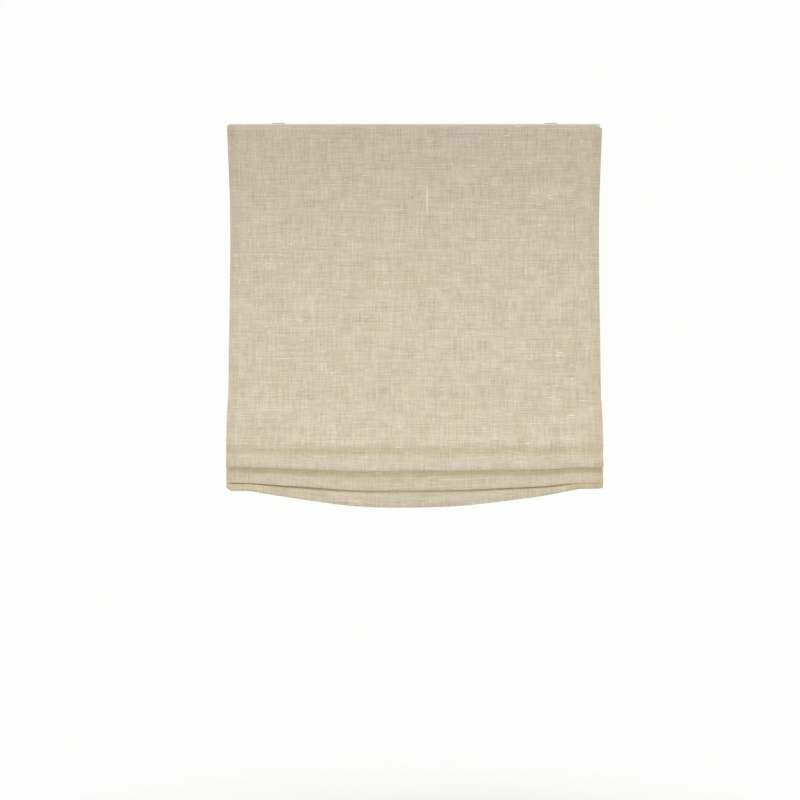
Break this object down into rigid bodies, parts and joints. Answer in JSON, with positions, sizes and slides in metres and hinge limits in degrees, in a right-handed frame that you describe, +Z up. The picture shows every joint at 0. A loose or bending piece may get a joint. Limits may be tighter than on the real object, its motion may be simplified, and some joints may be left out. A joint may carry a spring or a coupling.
{
  "type": "roman window shade",
  "caption": "Soft linen Roman window shade, partly raised into folds above a drooping hem, hung from a channel headrail with spring-balanced lift cords.",
  "frame": {"origin": "on the head jamb plane, at the centre of the four bracket screw holes", "axes": "+X along the width to the right as seen from the room, -Y towards the room, +Z up against the head jamb"},
  "size_m": [0.902, 0.0685, 0.9262],
  "materials": {
    "linen": "matte",
    "headrail_metal": "satin",
    "steel": "satin",
    "white_plastic": "satin",
    "grey_plastic": "satin",
    "clear_plastic": "gloss",
    "rod_white": "satin",
    "hook_tape": "matte",
    "loop_tape": "matte",
    "cord": "matte"
  },
  "bodies": {
    "headrail": {"headrail": "headrail_metal", "end_cap_left": "white_plastic", "end_cap_right": "white_plastic", "mounting_bracket_left": "steel", "mounting_bracket_right": "steel", "hook_tape": "hook_tape", "loop_tape": "loop_tape", "shade_fabric": "linen", "spool_cradle_left": "grey_plastic", "spool_cradle_right": "grey_plastic", "motor_housing": "grey_plastic", "motor_cover": "white_plastic", "spring_band": "steel", "lift_cord_left": "cord", "lift_cord_right": "cord"},
    "shade_bottom": {"first_gathered_ring_left": "clear_plastic", "first_gathered_ring_right": "clear_plastic", "second_gathered_ring_left": "clear_plastic", "second_gathered_ring_right": "clear_plastic", "third_gathered_ring_left": "clear_plastic", "third_gathered_ring_right": "clear_plastic", "cord_lock_left": "clear_plastic", "cord_lock_right": "clear_plastic", "bottom_rod": "rod_white", "rod_tip_left": "white_plastic", "rod_tip_right": "white_plastic"},
    "upper_ring_row": {"upper_ring_left": "clear_plastic", "upper_ring_right": "clear_plastic"},
    "middle_ring_row": {"middle_ring_left": "clear_plastic", "middle_ring_right": "clear_plastic"},
    "lower_ring_row": {"lower_ring_left": "clear_plastic", "lower_ring_right": "clear_plastic"},
    "lift_shaft": {"lift_shaft": "steel", "shaft_collar_left": "steel", "shaft_collar_right": "steel", "cord_spool_left": "white_plastic", "cord_spool_right": "white_plastic", "cord_winding_left": "cord", "cord_winding_right": "cord", "output_drum": "white_plastic"},
    "storage_drum": {"storage_drum": "white_plastic"}
  },
  "joints": [
    {"name": "lift", "type": "slide", "parent": "headrail", "child": "shade_bottom", "axis": [0, 0, 1], "range_m": [-0.566, 0.45], "deforming": ["shade_fabric", "lift_cord_left", "lift_cord_right"]},
    {"name": "upper_rings_rise", "type": "slide", "parent": "headrail", "child": "upper_ring_row", "axis": [0, 0, 1], "range_m": [-0.072, 0.058]},
    {"name": "middle_rings_rise", "type": "slide", "parent": "headrail", "child": "middle_ring_row", "axis": [0, 0, 1], "range_m": [-0.32, 0.256]},
    {"name": "lower_rings_rise", "type": "slide", "parent": "headrail", "child": "lower_ring_row", "axis": [0, 0, 1], "range_m": [-0.54, 0.43]},
    {"name": "shaft_turn", "type": "hinge", "parent": "headrail", "child": "lift_shaft", "pos_m": [0, -0.009, -0.0184], "axis": [1, 0, 0], "range_deg": [-3010, 3780]},
    {"name": "storage_turn", "type": "hinge", "parent": "headrail", "child": "storage_drum", "pos_m": [0, 0.0091, -0.0184], "axis": [1, 0, 0], "range_deg": [-3780, 3010]}
  ],
  "couplings": [
    {"joint": "upper_rings_rise", "follows": "lift", "ratio": 0.1221},
    {"joint": "middle_rings_rise", "follows": "lift", "ratio": 0.5582},
    {"joint": "lower_rings_rise", "follows": "lift", "ratio": 0.9463},
    {"joint": "shaft_turn", "follows": "lift", "rad_per_m": -116.28},
    {"joint": "storage_turn", "follows": "lift", "rad_per_m": 116.28}
  ]
}
